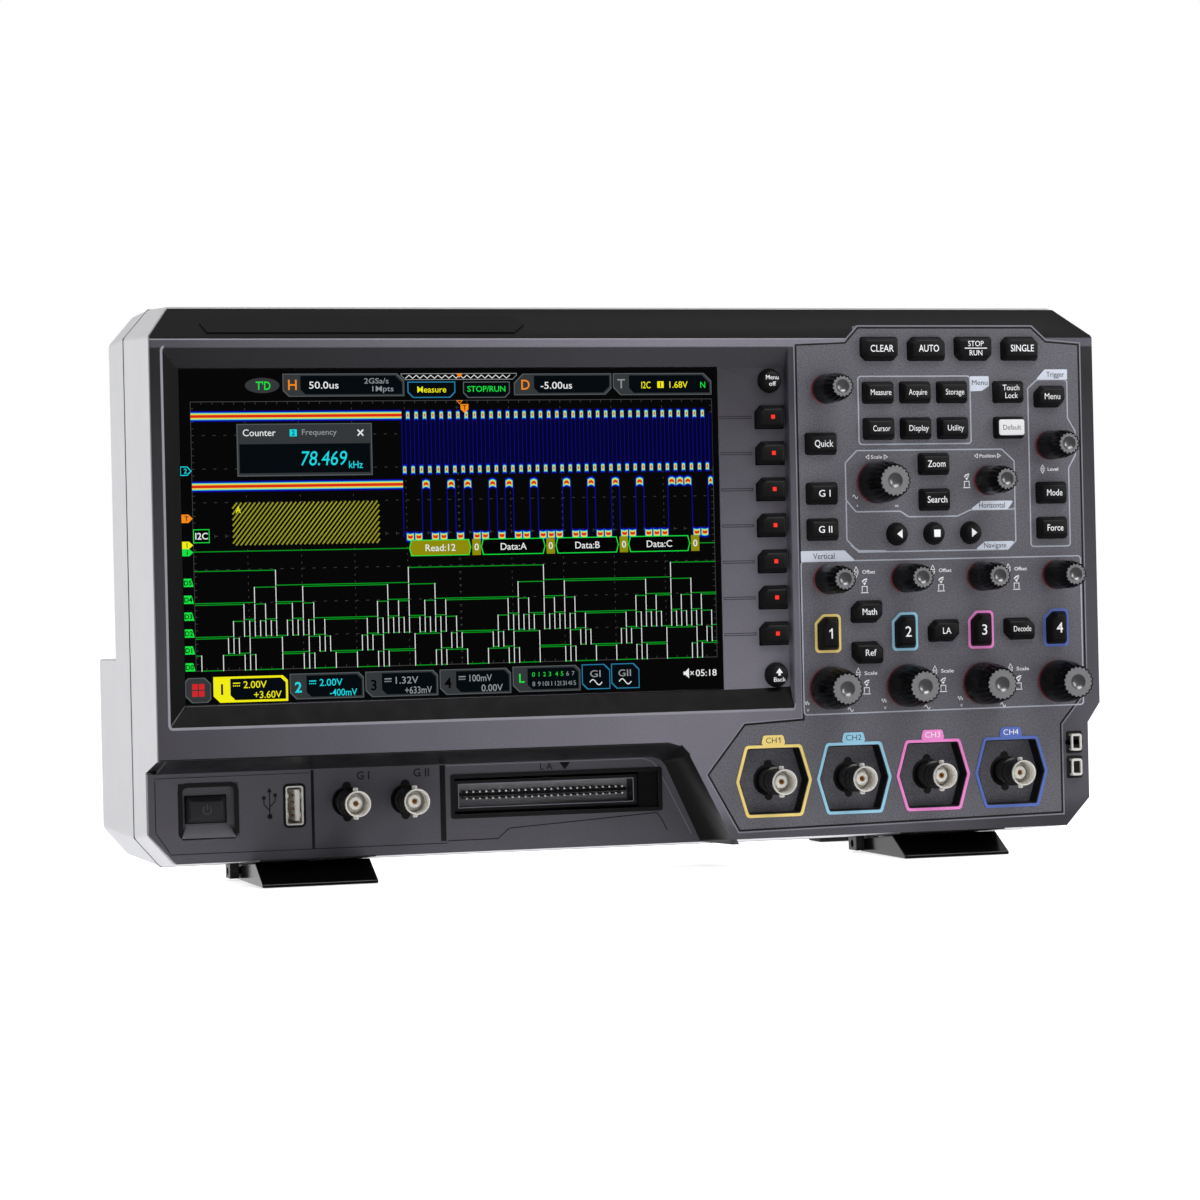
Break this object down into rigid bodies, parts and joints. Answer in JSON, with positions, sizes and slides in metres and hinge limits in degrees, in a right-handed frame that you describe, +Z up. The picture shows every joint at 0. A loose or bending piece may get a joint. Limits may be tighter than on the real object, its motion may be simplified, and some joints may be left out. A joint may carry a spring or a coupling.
{
  "type": "mixed-signal oscilloscope",
  "caption": "Bench mixed-signal oscilloscope with a logic-analyser port, touch screen, control panel with knobs and keys, front connectors, swing-out legs and a pull-up handle.",
  "frame": {"origin": "on the surface that the instrument stands on, below the middle of its width and depth", "axes": "+X to the right as seen from the front, +Y from the front to the back, +Z up"},
  "size_m": [0.367, 0.1588, 0.2135],
  "materials": {
    "dark_plastic": "fine moulded texture, satin",
    "light_plastic": "fine moulded texture, satin",
    "panel_plastic": "speckled grey lacquer",
    "screen_glass": "polished cover glass over a dark display",
    "screen_frame": "stamped frame",
    "circuit_board": "solder mask",
    "black_plastic": "moulded black",
    "connector_shell": "nickel-plated sheet",
    "nickel": "nickel plate",
    "foot_rubber": "soft rubber",
    "leg_plastic": "smooth black",
    "knob_plastic": "fluted soft-touch",
    "key_rubber": "matt silicone",
    "white_key": "matt silicone"
  },
  "bodies": {
    "case": {"front_bezel": "dark_plastic", "front_frame": "light_plastic", "rear_housing": "light_plastic", "control_panel": "panel_plastic", "touch_glass": "screen_glass", "lcd_module": "screen_frame", "keypad_board": "circuit_board", "main_board": "circuit_board", "power_supply": "circuit_board", "fan_housing": "black_plastic", "mains_inlet": "black_plastic", "rear_ports": "connector_shell", "channel_bnc_1": "nickel", "channel_bnc_2": "nickel", "channel_bnc_3": "nickel", "channel_bnc_4": "nickel", "generator_bnc_1": "nickel", "generator_bnc_2": "nickel", "logic_port": "black_plastic", "usb_port": "connector_shell", "probe_terminal_1": "nickel", "probe_terminal_2": "nickel", "rear_foot_left": "foot_rubber", "rear_foot_right": "foot_rubber"},
    "fan_rotor": {"fan_rotor": "black_plastic"},
    "leg_left": {"leg_left": "leg_plastic"},
    "leg_right": {"leg_right": "leg_plastic"},
    "handle": {"handle": "black_plastic"},
    "multifunction_knob": {"multifunction_knob": "knob_plastic"},
    "horizontal_scale_knob": {"horizontal_scale_knob": "knob_plastic"},
    "horizontal_position_knob": {"horizontal_position_knob": "knob_plastic"},
    "trigger_level_knob": {"trigger_level_knob": "knob_plastic"},
    "offset_knob_1": {"offset_knob_1": "knob_plastic"},
    "scale_knob_1": {"scale_knob_1": "knob_plastic"},
    "offset_knob_2": {"offset_knob_2": "knob_plastic"},
    "scale_knob_2": {"scale_knob_2": "knob_plastic"},
    "offset_knob_3": {"offset_knob_3": "knob_plastic"},
    "scale_knob_3": {"scale_knob_3": "knob_plastic"},
    "offset_knob_4": {"offset_knob_4": "knob_plastic"},
    "scale_knob_4": {"scale_knob_4": "knob_plastic"},
    "clear_key": {"clear_key": "key_rubber"},
    "auto_key": {"auto_key": "key_rubber"},
    "run_stop_key": {"run_stop_key": "key_rubber"},
    "single_key": {"single_key": "key_rubber"},
    "channel_1_key": {"channel_1_key": "key_rubber"},
    "channel_2_key": {"channel_2_key": "key_rubber"},
    "channel_3_key": {"channel_3_key": "key_rubber"},
    "channel_4_key": {"channel_4_key": "key_rubber"},
    "menu_keys": {"menu_keys": "key_rubber"},
    "touch_lock_key": {"touch_lock_key": "key_rubber"},
    "default_key": {"default_key": "white_key"},
    "quick_and_generator_keys": {"quick_and_generator_keys": "key_rubber"},
    "zoom_and_search_keys": {"zoom_and_search_keys": "key_rubber"},
    "navigate_keys": {"navigate_keys": "key_rubber"},
    "trigger_keys": {"trigger_keys": "key_rubber"},
    "math_ref_la_decode_keys": {"math_ref_la_decode_keys": "key_rubber"},
    "soft_keys": {"soft_keys": "key_rubber"},
    "power_key": {"power_key": "key_rubber"},
    "menu_off_key": {"menu_off_key": "key_rubber"},
    "back_key": {"back_key": "key_rubber"}
  },
  "joints": [
    {"name": "fan_spin", "type": "hinge", "parent": "case", "child": "fan_rotor", "pos_m": [-0.11, 0.01505, 0.1445], "axis": [0, 1, 0], "continuous": true},
    {"name": "leg_left_hinge", "type": "hinge", "parent": "case", "child": "leg_left", "pos_m": [-0.1245, -0.00945, 0.0033], "axis": [1, 0, 0], "range_deg": [0, 60]},
    {"name": "leg_right_hinge", "type": "hinge", "parent": "case", "child": "leg_right", "pos_m": [0.1245, -0.00945, 0.0033], "axis": [1, 0, 0], "range_deg": [0, 60]},
    {"name": "handle_pull", "type": "slide", "parent": "case", "child": "handle", "axis": [0, 0, 1], "range_m": [0, 0.035]},
    {"name": "multifunction_turn", "type": "hinge", "parent": "case", "child": "multifunction_knob", "pos_m": [0.073, -0.06995, 0.1791], "axis": [0, 1, 0], "continuous": true},
    {"name": "horizontal_scale_turn", "type": "hinge", "parent": "case", "child": "horizontal_scale_knob", "pos_m": [0.0932, -0.06995, 0.1437], "axis": [0, 1, 0], "continuous": true},
    {"name": "horizontal_position_turn", "type": "hinge", "parent": "case", "child": "horizontal_position_knob", "pos_m": [0.1385, -0.06995, 0.1438], "axis": [0, 1, 0], "continuous": true},
    {"name": "trigger_level_turn", "type": "hinge", "parent": "case", "child": "trigger_level_knob", "pos_m": [0.1643, -0.06995, 0.157], "axis": [0, 1, 0], "continuous": true},
    {"name": "offset_1_turn", "type": "hinge", "parent": "case", "child": "offset_knob_1", "pos_m": [0.0723, -0.06995, 0.1072], "axis": [0, 1, 0], "continuous": true},
    {"name": "scale_1_turn", "type": "hinge", "parent": "case", "child": "scale_knob_1", "pos_m": [0.0723, -0.06995, 0.0662], "axis": [0, 1, 0], "continuous": true},
    {"name": "offset_2_turn", "type": "hinge", "parent": "case", "child": "offset_knob_2", "pos_m": [0.1035, -0.06995, 0.1072], "axis": [0, 1, 0], "continuous": true},
    {"name": "scale_2_turn", "type": "hinge", "parent": "case", "child": "scale_knob_2", "pos_m": [0.1035, -0.06995, 0.0662], "axis": [0, 1, 0], "continuous": true},
    {"name": "offset_3_turn", "type": "hinge", "parent": "case", "child": "offset_knob_3", "pos_m": [0.1347, -0.06995, 0.1072], "axis": [0, 1, 0], "continuous": true},
    {"name": "scale_3_turn", "type": "hinge", "parent": "case", "child": "scale_knob_3", "pos_m": [0.1347, -0.06995, 0.0662], "axis": [0, 1, 0], "continuous": true},
    {"name": "offset_4_turn", "type": "hinge", "parent": "case", "child": "offset_knob_4", "pos_m": [0.1659, -0.06995, 0.1072], "axis": [0, 1, 0], "continuous": true},
    {"name": "scale_4_turn", "type": "hinge", "parent": "case", "child": "scale_knob_4", "pos_m": [0.1659, -0.06995, 0.0662], "axis": [0, 1, 0], "continuous": true},
    {"name": "clear_key_press", "type": "slide", "parent": "case", "child": "clear_key", "axis": [0, 1, 0], "range_m": [0, 0.001], "stiffness_N_per_m": 800},
    {"name": "auto_key_press", "type": "slide", "parent": "case", "child": "auto_key", "axis": [0, 1, 0], "range_m": [0, 0.001], "stiffness_N_per_m": 800},
    {"name": "run_stop_key_press", "type": "slide", "parent": "case", "child": "run_stop_key", "axis": [0, 1, 0], "range_m": [0, 0.001], "stiffness_N_per_m": 800},
    {"name": "single_key_press", "type": "slide", "parent": "case", "child": "single_key", "axis": [0, 1, 0], "range_m": [0, 0.001], "stiffness_N_per_m": 800},
    {"name": "channel_1_key_press", "type": "slide", "parent": "case", "child": "channel_1_key", "axis": [0, 1, 0], "range_m": [0, 0.001], "stiffness_N_per_m": 800},
    {"name": "channel_2_key_press", "type": "slide", "parent": "case", "child": "channel_2_key", "axis": [0, 1, 0], "range_m": [0, 0.001], "stiffness_N_per_m": 800},
    {"name": "channel_3_key_press", "type": "slide", "parent": "case", "child": "channel_3_key", "axis": [0, 1, 0], "range_m": [0, 0.001], "stiffness_N_per_m": 800},
    {"name": "channel_4_key_press", "type": "slide", "parent": "case", "child": "channel_4_key", "axis": [0, 1, 0], "range_m": [0, 0.001], "stiffness_N_per_m": 800},
    {"name": "menu_keys_press", "type": "slide", "parent": "case", "child": "menu_keys", "axis": [0, 1, 0], "range_m": [0, 0.001], "stiffness_N_per_m": 800},
    {"name": "touch_lock_key_press", "type": "slide", "parent": "case", "child": "touch_lock_key", "axis": [0, 1, 0], "range_m": [0, 0.001], "stiffness_N_per_m": 800},
    {"name": "default_key_press", "type": "slide", "parent": "case", "child": "default_key", "axis": [0, 1, 0], "range_m": [0, 0.001], "stiffness_N_per_m": 800},
    {"name": "quick_and_generator_keys_press", "type": "slide", "parent": "case", "child": "quick_and_generator_keys", "axis": [0, 1, 0], "range_m": [0, 0.001], "stiffness_N_per_m": 800},
    {"name": "zoom_and_search_keys_press", "type": "slide", "parent": "case", "child": "zoom_and_search_keys", "axis": [0, 1, 0], "range_m": [0, 0.001], "stiffness_N_per_m": 800},
    {"name": "navigate_keys_press", "type": "slide", "parent": "case", "child": "navigate_keys", "axis": [0, 1, 0], "range_m": [0, 0.001], "stiffness_N_per_m": 800},
    {"name": "trigger_keys_press", "type": "slide", "parent": "case", "child": "trigger_keys", "axis": [0, 1, 0], "range_m": [0, 0.001], "stiffness_N_per_m": 800},
    {"name": "math_ref_la_decode_keys_press", "type": "slide", "parent": "case", "child": "math_ref_la_decode_keys", "axis": [0, 1, 0], "range_m": [0, 0.001], "stiffness_N_per_m": 800},
    {"name": "soft_keys_press", "type": "slide", "parent": "case", "child": "soft_keys", "axis": [0, 1, 0], "range_m": [0, 0.001], "stiffness_N_per_m": 800},
    {"name": "power_key_press", "type": "slide", "parent": "case", "child": "power_key", "axis": [0, 1, 0], "range_m": [0, 0.001], "stiffness_N_per_m": 800},
    {"name": "menu_off_key_press", "type": "slide", "parent": "case", "child": "menu_off_key", "axis": [0, 1, 0], "range_m": [0, 0.001], "stiffness_N_per_m": 800},
    {"name": "back_key_press", "type": "slide", "parent": "case", "child": "back_key", "axis": [0, 1, 0], "range_m": [0, 0.001], "stiffness_N_per_m": 800}
  ]
}
